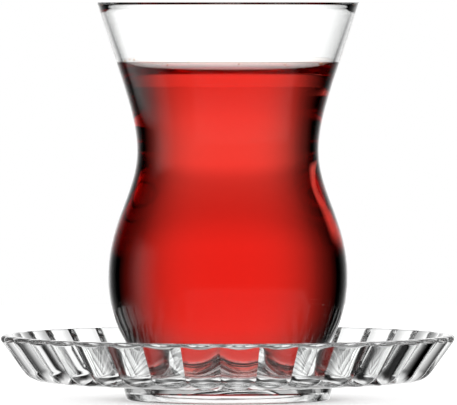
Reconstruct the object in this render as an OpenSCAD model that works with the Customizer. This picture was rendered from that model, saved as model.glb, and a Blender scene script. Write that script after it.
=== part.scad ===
// Turkish tea glass: a thin-waisted tulip glass of black tea, standing on a fluted glass saucer.
// The origin is the centre of the saucer's foot, on the table. +Z is up.

/* [Tea glass] */
// Height of the glass from its base to its rim
glass_h = 87.8; // [72:0.1:110]
// Outer diameter at the rim
rim_d = 62.4; // [52:0.2:76]
// Outer diameter at the waist
waist_d = 43.3; // [36:0.1:50]
// Height of the waist above the glass's base
waist_z = 52.5; // [44:0.5:60]
// Outer diameter at the belly
belly_d = 57.1; // [50:0.1:70]
// Height of the belly above the glass's base
belly_z = 22.5; // [18:0.5:27]
// Outer diameter of the base that it stands on
base_d = 38; // [30:0.5:44]
// Wall thickness at the rim
rim_wall = 1.0; // [0.7:0.1:1.4]
// Wall thickness from the tea's level down to the belly
side_wall = 1.5; // [1:0.1:2.2]
// Thickness of the bottom
base_wall = 3.6; // [2.4:0.1:6]

/* [Tea] */
// How far the tea's surface lies below the rim
tea_drop = 14.6; // [6:0.1:30]
// Gap left between the tea and the glass's side
tea_gap = 0.05; // [0.02:0.01:0.2]

/* [Saucer] */
// Diameter over the flutes at the rim
saucer_d = 108.4; // [90:0.2:130]
// Height from the table to the rim
saucer_h = 15.5; // [13:0.1:20]
// How far the wall leans outwards from upright, in degrees
wall_lean = 36; // [25:1:45]
// Wall thickness over the flutes
saucer_wall = 2.8; // [2.2:0.1:3.6]
// Height of the inner floor, where the glass stands
floor_z = 6.9; // [6:0.1:8]
// Number of flutes around the saucer
flute_count = 36; // [24:1:48]
// Depth of the creases between the flutes at the rim
flute_depth = 1.2; // [0.4:0.1:1.4]
// Outer diameter of the foot ring where it meets the table
foot_d = 48.6; // [40:0.2:60]
// Height of the foot ring's outer side
foot_h = 3.2; // [2:0.1:4]
// Width of the foot ring
foot_w = 3; // [2:0.1:5]
// Depth of the recess inside the foot ring
recess_h = 2.6; // [1:0.1:3]

/* [Hidden] */
$fn = 180;

// The glass's outline: how far each curve runs straight on from its ends before it bends
curve_steps = 14;
rim_flare = 0.297;     // outward run of the wall for each mm of height at the rim
rim_pull = 15.9;
waist_pull_up = 8.9;
waist_pull_down = 9.8;
belly_pull_up = 13;
belly_pull_down = 14.1;
heel_pull = 3.8;
heel_angle = 57;       // slope of the outside where it leaves the base, in degrees
well_inset = 4.5;      // how far inside the base's edge the flat inner bottom ends
well_pull = 7;
lip_steps = 8;

rim_r = rim_d / 2;
waist_r = waist_d / 2;
belly_r = belly_d / 2;
base_r = base_d / 2;
lip_r = rim_wall / 2;  // the rim is rounded over
tea_z = glass_h - tea_drop;

// The saucer's outline
flute_steps = 4;       // flat sides that round each flute
flute_turn = 3;        // turn of the first flute's crown from +X, in degrees
under_rise = 3.7;      // slope of the underside, in degrees
corner_r = 6;          // rounding between the underside and the wall
inner_corner_r = 4;    // rounding between the floor and the wall
corner_steps = 3;
brim_r = 0.9;          // rounding of the brim, on both sides
brim_steps = 2;
brim_notch = 0.35;     // how far each crease dips the top of the brim
foot_edge = 0.5;       // bevel of the foot ring's outer edge
foot_taper = 0.7;      // how much wider the foot ring is at its top than at the table
fade_w = 2.5;          // length over which the creases run out towards the foot ring

saucer_r = saucer_d / 2;
foot_r = foot_d / 2;

// Point at t on the cubic curve from a to d with the handles b and c
function curve(a, b, c, d, t) =
    pow(1 - t, 3) * a + 3 * pow(1 - t, 2) * t * b + 3 * (1 - t) * t * t * c + t * t * t * d;

// Points along that curve, from its start up to but not including its end
function curve_points(a, b, c, d) =
    [for (i = [0:curve_steps - 1]) curve(a, b, c, d, i / curve_steps)];

// Points of an arc about c, from one angle to another
function arc(c, r, from, to, steps) =
    [for (i = [0:steps]) let (a = from + (to - from) * i / steps) c + r * [cos(a), sin(a)]];

// Where the line through p along u crosses the line through q along v
function crossing(p, u, q, v) =
    p + u * ((q.x - p.x) * v.y - (q.y - p.y) * v.x) / (u.x * v.y - u.y * v.x);

// Centre of the arc of radius r that rounds the left-hand turn by the angle turn at the corner c
function round_centre(c, u, r, turn) = c - u * r * tan(turn / 2) + r * [-u.y, u.x];

function reversed(list) = [for (i = [len(list) - 1:-1:0]) list[i]];

// The glass's outlines are lists of [radius, height above its base]
outer_outline = concat(
    curve_points([base_r, 0], [base_r, 0] + heel_pull * [cos(heel_angle), sin(heel_angle)],
                 [belly_r, belly_z - belly_pull_down], [belly_r, belly_z]),
    curve_points([belly_r, belly_z], [belly_r, belly_z + belly_pull_up],
                 [waist_r, waist_z - waist_pull_down], [waist_r, waist_z]),
    curve_points([waist_r, waist_z], [waist_r, waist_z + waist_pull_up],
                 [rim_r - rim_flare * rim_pull, glass_h - rim_pull], [rim_r, glass_h]));

// Wall thickness at a height above the belly: full up to the tea's level, then thinning to the rim
function wall_at(z) = side_wall - (side_wall - rim_wall) * max(z - tea_z, 0) / tea_drop;

// Below the belly the inside rounds in to the thick bottom, and above it it follows the outside
inner_outline = concat(
    curve_points([base_r - well_inset, base_wall], [base_r - well_inset + well_pull, base_wall],
                 [belly_r - side_wall, belly_z - belly_pull_down + base_wall],
                 [belly_r - side_wall, belly_z]),
    [for (p = outer_outline) if (p.y >= belly_z) [p.x - wall_at(p.y), p.y]]);

lip_centre = [rim_r - lip_r, glass_h - lip_r];

module glass() {
    color([0.92, 0.95, 0.95, 0.35])
    translate([0, 0, floor_z])
    rotate_extrude()
    polygon(concat(
        [[0, 0]],
        [for (p = outer_outline) if (p.y < lip_centre.y) p],
        arc(lip_centre, lip_r, 0, 180, lip_steps),
        reversed([for (p = inner_outline) if (p.y < lip_centre.y) p]),
        [[0, base_wall]]));
}

module tea() {
    tea_r = lookup(tea_z, [for (p = inner_outline) [p.y, p.x]]);
    color([0.75, 0.1, 0.05, 0.8])
    translate([0, 0, floor_z])
    rotate_extrude()
    polygon(concat(
        [[0, base_wall]],
        [for (p = inner_outline) if (p.y < tea_z) p - [tea_gap, 0]],
        [[tea_r - tea_gap, tea_z], [0, tea_z]]));
}

// The saucer's outline, from the recess under it, out and up to the brim, and back in to the floor.
// Each station is [[radius, height] over the flutes' crowns, shift from there into a crease].
wall_way = [sin(wall_lean), cos(wall_lean)];
wall_out = [cos(wall_lean), -sin(wall_lean)];
under_way = [cos(under_rise), sin(under_rise)];
level_way = [1, 0];
foot_top = [foot_r + foot_taper, foot_h];
brim_centre = [saucer_r - brim_r, saucer_h - brim_r];
brim_inner = brim_centre - [(saucer_wall - 2 * brim_r) / cos(wall_lean), 0];
wall_top = brim_centre + brim_r * wall_out;
wall_top_inner = brim_inner - brim_r * wall_out;

under_turn = 90 - wall_lean - under_rise;
under_centre = round_centre(crossing(foot_top, under_way, wall_top, wall_way),
                            under_way, corner_r, under_turn);
floor_turn = 90 - wall_lean;
floor_centre = round_centre(crossing([0, floor_z], level_way, wall_top_inner, wall_way),
                            level_way, inner_corner_r, floor_turn);

// Creases are as deep for their width near the foot as they are at the rim
function crease(p) = flute_depth * p.x / saucer_r;
function plain(points) = [for (p = points) [p, [0, 0]]];

under_start = foot_top + fade_w * under_way;
stations = concat(
    plain([[foot_r - foot_w, recess_h], [foot_r - foot_w, 0], [foot_r - foot_edge, 0],
           [foot_r, foot_edge], foot_top]),
    [[under_start, crease(under_start) * [-under_way.y, under_way.x]]],
    [for (p = arc(under_centre, corner_r, under_rise - 90, -wall_lean, corner_steps))
        [p, crease(p) * (under_centre - p) / corner_r]],
    [for (i = [0:brim_steps]) let (
        a = -wall_lean + (90 + wall_lean) * i / brim_steps,
        out = [cos(a), sin(a)],
        depth = flute_depth + (brim_notch - flute_depth) * i / brim_steps)
        [brim_centre + brim_r * out, -depth * out]],
    plain(arc(brim_inner, brim_r, 90, 180 - wall_lean, brim_steps)),
    plain(reversed(arc(floor_centre, inner_corner_r, -90, -wall_lean, corner_steps))));

sides = flute_count * flute_steps;

// Each flute is rounded: no shift at its crown, and all of it in the creases on both sides
function ring(station) = [for (j = [0:sides - 1]) let (
    across = 2 * (j % flute_steps) / flute_steps - 1,
    p = station[0] + station[1] * across * across,
    a = flute_turn + 360 * (j / sides - 0.5 / flute_count))
    [p.x * cos(a), p.x * sin(a), p.y]];

module saucer() {
    last = len(stations) - 1;
    color([0.9, 0.93, 0.94, 0.4])
    polyhedron(
        points = [for (s = stations) each ring(s)],
        faces = concat(
            [[for (j = [0:sides - 1]) j]],
            [for (k = [0:last - 1], j = [0:sides - 1])
                let (a = k * sides + j, b = k * sides + (j + 1) % sides)
                each [[a, a + sides, b + sides], [a, b + sides, b]]],
            [[for (j = [sides - 1:-1:0]) last * sides + j]]));
}

saucer();
glass();
tea();
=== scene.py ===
import math
import random

import bpy
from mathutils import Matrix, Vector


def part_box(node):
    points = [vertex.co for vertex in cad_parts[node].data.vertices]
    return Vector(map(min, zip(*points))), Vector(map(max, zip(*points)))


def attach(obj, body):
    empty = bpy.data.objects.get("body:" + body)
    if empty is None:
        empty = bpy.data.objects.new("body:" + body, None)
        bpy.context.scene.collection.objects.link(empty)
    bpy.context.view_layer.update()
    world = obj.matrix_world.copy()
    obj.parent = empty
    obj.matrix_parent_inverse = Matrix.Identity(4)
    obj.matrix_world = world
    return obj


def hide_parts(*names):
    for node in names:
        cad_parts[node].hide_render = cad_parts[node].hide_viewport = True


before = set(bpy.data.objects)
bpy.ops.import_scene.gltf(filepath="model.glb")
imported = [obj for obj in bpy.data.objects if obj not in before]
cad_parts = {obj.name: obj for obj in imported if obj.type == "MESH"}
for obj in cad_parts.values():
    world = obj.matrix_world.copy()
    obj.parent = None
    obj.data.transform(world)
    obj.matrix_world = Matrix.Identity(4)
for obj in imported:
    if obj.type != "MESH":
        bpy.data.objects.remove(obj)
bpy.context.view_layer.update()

MM = 0.001
ON_AXIS = 1e-6
WHITE = (1, 1, 1, 1)
GLASS_IOR = 1.5
TEA_IOR = 1.33

# ---- sizes in millimetres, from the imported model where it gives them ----


def corners_mm(node):
    """The lowest and the highest corner of a node."""
    low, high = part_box(node)
    return [v / MM for v in low], [v / MM for v in high]


glass_low, glass_high = corners_mm("glass")
floor_z = glass_low[2]
glass_h = glass_high[2] - glass_low[2]
rim_r = (glass_high[0] - glass_low[0]) / 2
saucer_h = corners_mm("saucer")[1][2]
tea_level = corners_mm("tea")[1][2] - floor_z

# The tulip glass.
waist_r = 21.65
waist_z = 52.5
belly_r = 28.55
belly_z = 22.5
base_r = 19.0
rim_wall = 1.0
side_wall = 1.5
base_wall = 3.6
well_r = base_r - 4.5
heel_r = 0.7
heel_angle = math.radians(57)
rim_flare = 0.297

# How far the handles of the outline's curves reach from its main points.
heel_pull = 3.8
under_belly_pull = 14.1
over_belly_pull = 13
under_waist_pull = 9.8
over_waist_pull = 8.9
rim_pull = 15.9
well_pull = 7

# The edge of the tea: its flat middle lies below the CAD level, and the edge climbs the wall
# and reaches a little into it.
tea_dip = 2.1
tea_climb = 2.8
tea_fade = 1.4
tea_sink = 0.12
tea_edge_w = 9.0

# The saucer. Its brim is one round edge, and each flute has a crest and a crease on each side.
saucer_r = 54.2
wall_lean = math.radians(36)
under_rise = math.radians(3.7)
saucer_wall = 2.8
under_corner_r = 6.0
floor_corner_r = 4.0
brim_r = 0.9
flute_count = 36
flute_depth = 1.2
flute_fade = 2.5
flute_turn = math.radians(3)
brim_notch = 0.35
foot_r = 24.3
foot_h = 3.2
foot_w = 3.0
foot_draft = 0.7
foot_edge_r = 0.5
foot_bevel = 0.3
recess_h = 2.6
recess_bevel = 0.4


# ---- outlines: lists of (radius, height) ----


def plus(p, q, k=1.0):
    return (p[0] + k * q[0], p[1] + k * q[1])


def curve(a, b, c, d, steps):
    """Points along the cubic from a to d with the handles b and c, without its end."""
    points = []
    for i in range(steps):
        t = i / steps
        s = 1 - t
        weights = (s ** 3, 3 * s * s * t, 3 * s * t * t, t ** 3)
        x = sum(w * p[0] for w, p in zip(weights, (a, b, c, d)))
        y = sum(w * p[1] for w, p in zip(weights, (a, b, c, d)))
        points.append((x, y))
    return points


def arc(centre, r, start, end, steps):
    """Points of an arc, its angles in degrees."""
    points = []
    for i in range(steps + 1):
        a = math.radians(start + (end - start) * i / steps)
        points.append((centre[0] + r * math.cos(a), centre[1] + r * math.sin(a)))
    return points


def scaled(v, k):
    return (v[0] * k, v[1] * k)


def crossing(p, u, q, v):
    """Where the line through p along u crosses the line through q along v."""
    k = ((q[0] - p[0]) * v[1] - (q[1] - p[1]) * v[0]) / (u[0] * v[1] - u[1] * v[0])
    return plus(p, u, k)


def round_centre(corner, u, r, turn):
    """Centre of the arc that rounds the left-hand turn at a corner."""
    start = plus(corner, u, -r * math.tan(turn / 2))
    return plus(start, (-u[1], u[0]), r)


def glass_outside():
    """The glass from its foot to its rim."""
    heel = (base_r + heel_pull * math.cos(heel_angle), heel_pull * math.sin(heel_angle))
    belly = (belly_r, belly_z)
    waist = (waist_r, waist_z)
    rim = (rim_r, glass_h)
    lower = curve((base_r, 0), heel, (belly_r, belly_z - under_belly_pull), belly, 36)
    middle = curve(belly, (belly_r, belly_z + over_belly_pull),
                   (waist_r, waist_z - under_waist_pull), waist, 40)
    upper = curve(waist, (waist_r, waist_z + over_waist_pull),
                  (rim_r - rim_flare * rim_pull, glass_h - rim_pull), rim, 40)
    return lower + middle + upper


def wall_at(z):
    """Wall thickness at a height: full up to the tea's level, then thinning to the rim."""
    over = max(z - tea_level, 0) / (glass_h - tea_level)
    return side_wall - (side_wall - rim_wall) * over


def glass_inside():
    """The inside of the glass, from the edge of its flat bottom to the rim."""
    inner_belly_r = belly_r - side_wall
    bottom = curve((well_r, base_wall), (well_r + well_pull, base_wall),
                   (inner_belly_r, belly_z - under_belly_pull + base_wall),
                   (inner_belly_r, belly_z), 36)
    side = [(x - wall_at(z), z) for x, z in glass_outside() if z >= belly_z]
    return bottom + side


def tea_surface(away):
    """Height of the tea's surface at a distance from the wall."""
    return tea_level - tea_dip + tea_climb * math.exp(-away / tea_fade)


def radius_at(points, z):
    """Radius of an outline at a height."""
    for (x0, z0), (x1, z1) in zip(points, points[1:]):
        if z0 <= z <= z1 and z1 > z0:
            return x0 + (x1 - x0) * (z - z0) / (z1 - z0)
    return points[-1][0]


def raised(points, z):
    """An outline moved up by z."""
    return [(x, y + z) for x, y in points]


# ---- meshes ----


def sharp_smooth(mesh, angle):
    """Smooth shading that keeps the edges sharper than an angle in degrees."""
    for face in mesh.polygons:
        face.use_smooth = True
    mesh.set_sharp_from_angle(angle=math.radians(angle))


def linked(name, data):
    piece = bpy.data.objects.new(name, data)
    bpy.context.scene.collection.objects.link(piece)
    return piece


def skin_over(rings):
    """Points and faces of the skin over a stack of rings; a ring of one point is a pole."""
    verts = []
    starts = []
    for ring in rings:
        starts.append(len(verts))
        verts.extend((x * MM, y * MM, z * MM) for x, y, z in ring)
    faces = []
    for k in range(len(rings) - 1):
        near = len(rings[k])
        far = len(rings[k + 1])
        a = starts[k]
        b = starts[k + 1]
        n = max(near, far)
        for j in range(n):
            i = (j + 1) % n
            if near == 1:
                faces.append((a, b + i, b + j))
            elif far == 1:
                faces.append((a + i, b, a + j))
            else:
                faces.append((a + i, b + i, b + j, a + j))
    return verts, faces


def made(name, verts, faces):
    mesh = bpy.data.meshes.new(name)
    mesh.from_pydata(verts, [], faces)
    mesh.validate()
    return linked(name, mesh)


def turned(name, rings):
    """A closed piece from rings of points."""
    verts, faces = skin_over(rings)
    return made(name, verts, faces)


def lathe(name, outline, sides):
    """A solid of revolution from an outline that starts and ends on the axis."""
    rings = []
    for r, z in outline:
        if r < ON_AXIS:
            rings.append([(0, 0, z)])
        else:
            ring = []
            for j in range(sides):
                a = 2 * math.pi * j / sides
                ring.append((r * math.cos(a), r * math.sin(a), z))
            rings.append(ring)
    return turned(name, rings)


# ---- the pieces ----


def make_glass():
    """The tulip glass. The points of its lip are measured inwards and down from the rim."""
    lip = [(0, 0.15), (0.04, 0.04), (0.14, 0), (0.3, 0.06), (0.5, 0.17), (0.7, 0.29),
           (0.86, 0.4), (0.97, 0.52), (1.0, 0.7)]
    outer_end = 0.3
    inner_end = 1.0
    outside = [p for p in glass_outside() if p[1] < glass_h - outer_end]
    inside = [p for p in glass_inside() if p[1] < glass_h - inner_end]
    hollow_base = [(0, 0.35), (6, 0.33), (11, 0.26), (14.5, 0.14), (16.5, 0.03), (17.2, 0.0)]
    heel = arc((base_r - heel_r, heel_r), heel_r, -90, -33, 5)
    outline = hollow_base + heel + outside[1:] + [(rim_r - x, glass_h - z) for x, z in lip]
    outline += inside[::-1] + [(0, base_wall)]
    piece = lathe("tulip_glass", raised(outline, floor_z), 192)
    sharp_smooth(piece.data, 50)
    return piece


def make_tea():
    """The drink, with close rings where its edge curves up the wall."""
    inside = glass_inside()
    contact = tea_surface(0)
    contact_r = radius_at(inside, contact)
    side = [(x + tea_sink, z) for x, z in inside if z < contact]
    side[0] = (side[0][0] - tea_sink, side[0][1] - tea_sink)
    edge = []
    steps = 14
    for i in range(steps + 1):
        back = tea_edge_w * (i / steps) ** 1.8
        edge.append((contact_r - back, tea_surface(back)))
    flat = tea_level - tea_dip
    outline = [(0, base_wall - tea_sink)] + side + [(contact_r + tea_sink, contact)]
    outline += edge + [(contact_r - 14, flat), (0, flat)]
    piece = lathe("black_tea", raised(outline, floor_z), 192)
    sharp_smooth(piece.data, 50)
    return piece


def ball_rings(centre, r):
    """A small sphere as rings of points, from its lowest to its highest."""
    x, y, z = centre
    rings = [[(x, y, z - r)]]
    levels = 12
    sides = 18
    for i in range(1, levels):
        tilt = math.pi * i / levels
        out = r * math.sin(tilt)
        ring = []
        for j in range(sides):
            a = 2 * math.pi * (j + 0.5) / sides
            ring.append((x + out * math.cos(a), y + out * math.sin(a), z - r * math.cos(tilt)))
        rings.append(ring)
    rings.append([(x, y, z + r)])
    return rings


def make_bubbles():
    """Small bubbles that cling to the wall where the tea climbs it, most of them in one group.

    Each is a thin film, with an outer skin and an inner one that faces its air.
    """
    rng = random.Random(11)
    film = 0.9
    inside = glass_inside()
    spots = [(math.radians(rng.uniform(-30, -12)), rng.uniform(0.28, 0.5)) for i in range(9)]
    spots += [(math.radians(rng.uniform(0, 360)), rng.uniform(0.14, 0.3)) for i in range(16)]
    verts = []
    faces = []
    for angle, r in spots:
        away = r + rng.uniform(0.0, 0.9)
        z = tea_surface(away) + 0.7 * r
        out = radius_at(inside, z) - away
        centre = (out * math.cos(angle), out * math.sin(angle), z + floor_z)
        for size, way in ((r, 1), (r * film, -1)):
            points, skin = skin_over(ball_rings(centre, size))
            start = len(verts)
            verts += points
            faces += [tuple(start + v for v in face)[::way] for face in skin]
    piece = made("tea_bubbles", verts, faces)
    for face in piece.data.polygons:
        face.use_smooth = True
    return piece


def foot_outline():
    """The recess and the foot ring, from the axis outwards."""
    ring_in = foot_r - foot_w
    points = [(0, recess_h), (ring_in - recess_bevel, recess_h), (ring_in, recess_h - recess_bevel)]
    points += [(ring_in, foot_bevel), (ring_in + foot_bevel, 0)]
    points += arc((foot_r - foot_edge_r, foot_edge_r), foot_edge_r, -90, 0, 4)
    points += [(foot_r + foot_draft / 2, foot_h / 2), (foot_r + foot_draft, foot_h)]
    return points


def saucer_stations():
    """The saucer's outline from under its middle, round the brim, to the middle of its floor.

    Each station is a point on a flute's crest and the way from it to the crease beside it.
    """
    lean = math.degrees(wall_lean)
    rise = math.degrees(under_rise)
    wall_way = (math.sin(wall_lean), math.cos(wall_lean))
    wall_out = (math.cos(wall_lean), -math.sin(wall_lean))
    under_way = (math.cos(under_rise), math.sin(under_rise))
    under_in = (-under_way[1], under_way[0])
    foot_top = (foot_r + foot_draft, foot_h)
    brim_c = (saucer_r - brim_r, saucer_h - brim_r)
    brim_in = (brim_c[0] - (saucer_wall - 2 * brim_r) / math.cos(wall_lean), brim_c[1])
    wall_top = plus(brim_c, wall_out, brim_r)
    wall_top_in = plus(brim_in, wall_out, -brim_r)
    under_c = round_centre(crossing(foot_top, under_way, wall_top, wall_way),
                           under_way, under_corner_r, math.pi / 2 - wall_lean - under_rise)
    floor_c = round_centre(crossing((0, floor_z), (1, 0), wall_top_in, wall_way),
                           (1, 0), floor_corner_r, math.pi / 2 - wall_lean)

    def crease(p):
        return flute_depth * p[0] / saucer_r

    def unfluted(points):
        return [(p, (0, 0)) for p in points]

    stations = unfluted(foot_outline())
    corner = arc(under_c, under_corner_r, rise - 90, -lean, 12)
    under_steps = 14
    for i in range(1, under_steps):
        out = (corner[0][0] - foot_top[0]) * i / under_steps
        p = plus(foot_top, under_way, out)
        k = min((p[0] - foot_top[0]) / flute_fade, 1)
        soft = k * k * (3 - 2 * k)
        stations.append((p, scaled(under_in, crease(p) * soft)))
    for p in corner:
        to_centre = (under_c[0] - p[0], under_c[1] - p[1])
        stations.append((p, scaled(to_centre, crease(p) / under_corner_r)))
    low = corner[-1]
    wall_steps = 8
    for i in range(1, wall_steps):
        p = plus(low, (wall_top[0] - low[0], wall_top[1] - low[1]), i / wall_steps)
        stations.append((p, scaled(wall_out, -crease(p))))
    brim_steps = 10
    for i in range(brim_steps + 1):
        a = math.radians(-lean + (90 + lean) * i / brim_steps)
        out = (math.cos(a), math.sin(a))
        depth = flute_depth + (brim_notch - flute_depth) * i / brim_steps
        stations.append((plus(brim_c, out, brim_r), scaled(out, -depth)))
    stations += unfluted(arc(brim_in, brim_r, 90, 180 - lean, 8))
    stations += unfluted(arc(floor_c, floor_corner_r, -90, -lean, 10)[::-1])
    stations += unfluted([(30, floor_z), (0, floor_z)])
    return stations


def make_saucer():
    """The saucer: each ring goes out to the crests and in to the creases, once for each flute."""
    per_flute = 14
    sides = flute_count * per_flute
    rings = []
    for p, shift in saucer_stations():
        if p[0] < ON_AXIS:
            rings.append([(0, 0, p[1])])
            continue
        ring = []
        for j in range(sides):
            across = 2 * (j % per_flute) / per_flute - 1
            k = across * across
            r = p[0] + shift[0] * k
            z = p[1] + shift[1] * k
            a = flute_turn + 2 * math.pi * (j / sides - 0.5 / flute_count)
            ring.append((r * math.cos(a), r * math.sin(a), z))
        rings.append(ring)
    piece = turned("fluted_saucer", rings)
    sharp_smooth(piece.data, 28)
    return piece


# ---- materials ----


# A Mix node has one factor, and its colour sockets come after those for numbers and vectors.
MIX_COLOUR_INPUTS = (0, 6, 7)
MIX_COLOUR_OUTPUT = 2


def new_material(name):
    material = bpy.data.materials.new(name)
    material.use_nodes = True
    return material, material.node_tree


def principled(tree):
    return next(n for n in tree.nodes if n.type == "BSDF_PRINCIPLED")


def noise(tree, scale, detail, seed):
    """Noise over the piece's own metres, the same on every run."""
    place = tree.nodes.new("ShaderNodeTexCoord")
    grain = tree.nodes.new("ShaderNodeTexNoise")
    grain.noise_dimensions = "4D"
    grain.inputs["W"].default_value = seed
    grain.inputs["Scale"].default_value = scale
    grain.inputs["Detail"].default_value = detail
    tree.links.new(place.outputs["Object"], grain.inputs["Vector"])
    return grain.outputs[0]


def graded(tree, value, low, high, result_low, result_high):
    """The value's range low to high, spread over result_low to result_high."""
    spread = tree.nodes.new("ShaderNodeMapRange")
    spread.inputs["From Min"].default_value = low
    spread.inputs["From Max"].default_value = high
    spread.inputs["To Min"].default_value = result_low
    spread.inputs["To Max"].default_value = result_high
    tree.links.new(value, spread.inputs["Value"])
    return spread.outputs["Result"]


def hand_polish_group():
    """Slow waves in a wiped surface and the faint film left by the cloth."""
    tree = bpy.data.node_groups.new("hand_polish", "ShaderNodeTree")
    for label, start in (("Wave Size", 40.0), ("Wave Depth", 0.00002), ("Film", 0.02)):
        socket = tree.interface.new_socket(label, in_out="INPUT", socket_type="NodeSocketFloat")
        socket.default_value = start
    tree.interface.new_socket("Normal", in_out="OUTPUT", socket_type="NodeSocketVector")
    tree.interface.new_socket("Roughness", in_out="OUTPUT", socket_type="NodeSocketFloat")
    given = tree.nodes.new("NodeGroupInput")
    result = tree.nodes.new("NodeGroupOutput")
    waves = noise(tree, 40.0, 1.0, 3.1)
    tree.links.new(given.outputs["Wave Size"], waves.node.inputs["Scale"])
    bump = tree.nodes.new("ShaderNodeBump")
    bump.inputs["Strength"].default_value = 1.0
    tree.links.new(given.outputs["Wave Depth"], bump.inputs["Distance"])
    tree.links.new(waves, bump.inputs["Height"])
    tree.links.new(bump.outputs["Normal"], result.inputs["Normal"])
    smear = graded(tree, noise(tree, 150.0, 4.0, 8.4), 0.55, 0.72, 0.0, 1.0)
    film = tree.nodes.new("ShaderNodeMath")
    film.operation = "MULTIPLY"
    tree.links.new(smear, film.inputs[0])
    tree.links.new(given.outputs["Film"], film.inputs[1])
    tree.links.new(film.outputs[0], result.inputs["Roughness"])
    return tree


def polished(tree, shader, size, depth, film):
    """Joins the shared polish to a material with its own wave size, depth and film."""
    node = tree.nodes.new("ShaderNodeGroup")
    node.node_tree = HAND_POLISH
    node.inputs["Wave Size"].default_value = size
    node.inputs["Wave Depth"].default_value = depth
    node.inputs["Film"].default_value = film
    tree.links.new(node.outputs["Normal"], shader.inputs["Normal"])
    tree.links.new(node.outputs["Roughness"], shader.inputs["Roughness"])


def tinted(tree, shader, pale, deep, scale, seed):
    """A cloudy tint between two close colours."""
    mix = tree.nodes.new("ShaderNodeMix")
    mix.data_type = "RGBA"
    clouds, first, second = (mix.inputs[i] for i in MIX_COLOUR_INPUTS)
    first.default_value = pale
    second.default_value = deep
    tree.links.new(noise(tree, scale, 3.0, seed), clouds)
    tree.links.new(mix.outputs[MIX_COLOUR_OUTPUT], shader.inputs["Base Color"])


def clear_glass(name, mirror, wave_size, wave_depth, film, deep):
    """Clear glass; mirror is how strongly it reflects what it faces squarely."""
    material, tree = new_material(name)
    shader = principled(tree)
    shader.inputs["IOR"].default_value = GLASS_IOR
    shader.inputs["Transmission Weight"].default_value = 1.0
    shader.inputs["Specular Tint"].default_value = (mirror, mirror, mirror, 1)
    polished(tree, shader, wave_size, wave_depth, film)
    tinted(tree, shader, WHITE, deep, 30.0, 5.7)
    return material


def brewed_tea():
    """Black tea: a clear red that darkens with depth, and a surface that is never quite still."""
    material, tree = new_material("brewed_tea")
    shader = principled(tree)
    shader.inputs["IOR"].default_value = TEA_IOR
    shader.inputs["Transmission Weight"].default_value = 1.0
    shader.inputs["Specular Tint"].default_value = (0.1, 0.1, 0.1, 1)
    polished(tree, shader, 60.0, 0.00001, 0.0)
    tinted(tree, shader, WHITE, (1, 0.97, 0.93, 1), 45.0, 2.2)
    body = tree.nodes.new("ShaderNodeVolumeAbsorption")
    body.inputs["Color"].default_value = (0.92, 0.20, 0.12, 1)
    body.inputs["Density"].default_value = 100.0
    output = next(n for n in tree.nodes if n.type == "OUTPUT_MATERIAL")
    tree.links.new(body.outputs["Volume"], output.inputs["Volume"])
    return material


def bubble_film():
    """The thin wet skin of a bubble."""
    material, tree = new_material("bubble_film")
    shader = principled(tree)
    shader.inputs["IOR"].default_value = TEA_IOR
    shader.inputs["Transmission Weight"].default_value = 1.0
    polished(tree, shader, 900.0, 0.000004, 0.0)
    tinted(tree, shader, (1, 0.97, 0.94, 1), (1, 0.86, 0.74, 1), 700.0, 9.3)
    return material


def matt_floor():
    """The plain pale floor."""
    material, tree = new_material("pale_floor")
    shader = principled(tree)
    shader.inputs["Base Color"].default_value = (0.9, 0.9, 0.9, 1)
    shader.inputs["Roughness"].default_value = 0.9
    shader.inputs["Specular IOR Level"].default_value = 0.0
    return material


HAND_POLISH = hand_polish_group()
glass = make_glass()
tea = make_tea()
bubbles = make_bubbles()
saucer = make_saucer()
bubbles.data.materials.append(bubble_film())
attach(bubbles, "root")
glass.data.materials.append(clear_glass("blown_glass", 0.05, 35.0, 0.00002, 0.015,
                                        (0.985, 0.995, 0.99, 1)))
saucer.data.materials.append(clear_glass("pressed_glass", 0.2, 90.0, 0.00004, 0.03,
                                         (0.97, 0.985, 0.98, 1)))
tea.data.materials.append(brewed_tea())
for piece, node, slot in ((glass, "glass", "tea_glass"), (tea, "tea", "black_tea"),
                          (saucer, "saucer", "saucer_glass")):
    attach(piece, "root")
    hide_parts(node)


# ---- the studio ----


def make_floor(radius):
    """A round floor, a hair below the foot ring."""
    sides = 96
    step = 2 * math.pi / sides
    ring = [(radius * math.cos(step * j), radius * math.sin(step * j), 0) for j in range(sides)]
    mesh = bpy.data.meshes.new("studio_floor")
    mesh.from_pydata(ring, [], [tuple(range(sides))])
    mesh.materials.append(matt_floor())
    piece = linked("studio_floor", mesh)
    piece.location.z = -0.00002
    piece.visible_glossy = False
    piece.visible_transmission = False


def overhead_light():
    """One broad light above; it lights the floor and shows in no glass."""
    sun = bpy.data.lights.new("overhead_light", "SUN")
    sun.energy = 4.3
    sun.angle = math.radians(70)
    piece = linked("overhead_light", sun)
    piece.visible_glossy = False
    piece.visible_transmission = False


make_floor(0.6)
overhead_light()
glass.visible_shadow = False
saucer.visible_shadow = False


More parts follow.
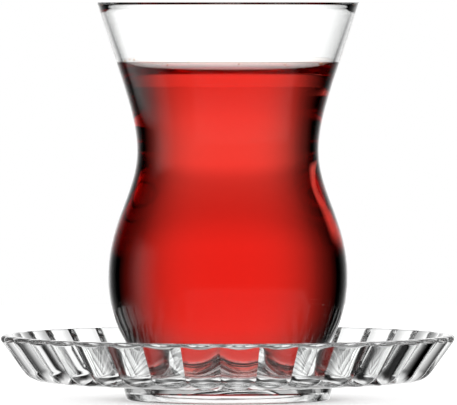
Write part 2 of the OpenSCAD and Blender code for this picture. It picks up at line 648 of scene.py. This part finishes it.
# The light tent's white patches: the middle of each, in degrees to the right of the back,
# its grey levels by degrees to either side, and its grey levels by degrees above the horizon.
WIDE_FADE = [(0, 1.0), (5, 0.99), (9, 0.95), (12, 0.89), (15, 0.79), (19, 0.62), (23, 0.43),
             (27, 0.25), (31, 0.14), (35, 0.08), (39, 0.03), (43, 0.0)]
NARROW_FADE = [(0, 1.0), (6, 0.92), (9, 0.79), (12, 0.56), (16, 0.25), (21, 0.08), (25, 0.0)]
TENT_STRENGTH = 1.28
TENT = (
    # behind, for the front view: the level screen and the one low down
    (0, WIDE_FADE, [(-32, 0.0), (-23, 0.7), (-15.2, 0.72), (-13.5, 0.76), (-12, 0.84), (-10, 0.93),
                    (-8, 1.0), (9, 1.0), (12, 0.9), (18, 0.65), (26, 0.2), (34, 0.0)]),
    (0, NARROW_FADE, [(-43, 0.2), (-38, 0.5), (-32, 0.78), (-22, 0.7), (-16, 0.0)]),
    # on the left, for the view from the right: the level screen and two low ones
    (-90, NARROW_FADE, [(-28, 0.6), (-15, 0.62), (-8, 0.82), (9, 0.82), (12, 0.74), (18, 0.0)]),
    (-72, [(0, 1.0), (26, 1.0), (33, 0.0)], [(-38, 0.0), (-34, 0.8), (-17, 0.8), (-11, 0.0)]),
    (-47, [(0, 1.0), (4, 1.0), (8, 0.0)], [(-53, 0.0), (-48, 0.8), (-24, 0.8), (-20, 0.0)]),
    # in front, low down, for the views from behind
    (160, [(0, 1.0), (60, 1.0), (68, 0.0)], [(-50, 0.8), (-12, 0.8), (-7, 0.0)]),
    # the table around the saucer, then what lies straight below and straight above
    (0, [(0, 0.1), (36, 0.1), (42, 0.8)], [(-49, 1.0), (-43, 0.0)]),
    (0, [(0, 1.0)], [(-76, 0.9), (-66, 0.0), (48, 0.0), (62, 0.4)]),
)


def light_tent():
    """Pure white seen directly; in the glass, soft white screens with dark gaps between them."""
    world = bpy.data.worlds.new("light_tent")
    world.use_nodes = True
    bpy.context.scene.world = world
    nodes = world.node_tree.nodes
    links = world.node_tree.links
    nodes.clear()
    output = nodes.new("ShaderNodeOutputWorld")
    way = nodes.new("ShaderNodeTexCoord")
    split = nodes.new("ShaderNodeSeparateXYZ")
    links.new(way.outputs["Generated"], split.inputs[0])

    def maths(operation, *values):
        """A Math node fed with numbers or other nodes' values."""
        node = nodes.new("ShaderNodeMath")
        node.operation = operation
        for slot, value in zip(node.inputs, values):
            if isinstance(value, (int, float)):
                slot.default_value = value
            else:
                links.new(value, slot)
        return node.outputs[0]

    def levels(value, low, high, stops):
        """A soft curve of grey levels over a range of angles or heights."""
        ramp = nodes.new("ShaderNodeValToRGB")
        links.new(maths("DIVIDE", maths("SUBTRACT", value, low), high - low), ramp.inputs[0])
        elements = ramp.color_ramp.elements
        while len(elements) > 1:
            elements.remove(elements[-1])
        for i, (at, grey) in enumerate(stops):
            share = (at - low) / (high - low)
            stop = elements[0] if i == 0 else elements.new(share)
            stop.position = share
            stop.color = (grey, grey, grey, 1)
        return ramp.outputs["Color"]

    turn = maths("DEGREES", maths("ARCTAN2", split.outputs["X"], split.outputs["Y"]))
    height = maths("DEGREES", maths("ARCSINE", split.outputs["Z"]))
    light = 0.0
    for middle, across, upright in TENT:
        offset = maths("ABSOLUTE", maths("WRAP", maths("SUBTRACT", turn, middle), 180, -180))
        patch = maths("MULTIPLY", levels(offset, 0, 180, across), levels(height, -90, 90, upright))
        light = maths("MAXIMUM", light, patch)
    ray = nodes.new("ShaderNodeLightPath")
    screens = nodes.new("ShaderNodeBackground")
    screens.inputs["Color"].default_value = WHITE
    links.new(maths("MULTIPLY", light, TENT_STRENGTH), screens.inputs["Strength"])
    plain = nodes.new("ShaderNodeBackground")
    plain.inputs["Color"].default_value = WHITE
    plain.inputs["Strength"].default_value = 1.0
    mix = nodes.new("ShaderNodeMixShader")
    links.new(ray.outputs["Is Camera Ray"], mix.inputs[0])
    links.new(screens.outputs[0], mix.inputs[1])
    links.new(plain.outputs[0], mix.inputs[2])
    links.new(mix.outputs[0], output.inputs["Surface"])


def make_camera():
    """A long lens level with the rim, aimed at about half the height."""
    data = bpy.data.cameras.new("camera")
    data.sensor_width = 36.0
    data.lens = 638.0
    data.clip_end = 100.0
    camera = linked("camera", data)
    eye = (0.00014, -1.93, 0.0947)
    aim = (0.00014, 0.0, 0.0470)
    camera.location = eye
    down = math.atan2(eye[2] - aim[2], aim[1] - eye[1])
    camera.rotation_euler = (math.pi / 2 - down, 0, 0)
    bpy.context.scene.camera = camera


light_tent()
make_camera()

# Light passes many walls of glass before it leaves them.
scene = bpy.context.scene
scene.view_settings.view_transform = "Standard"
scene.cycles.max_bounces = 96
scene.cycles.transmission_bounces = 96
scene.cycles.glossy_bounces = 64
scene.cycles.transparent_max_bounces = 32
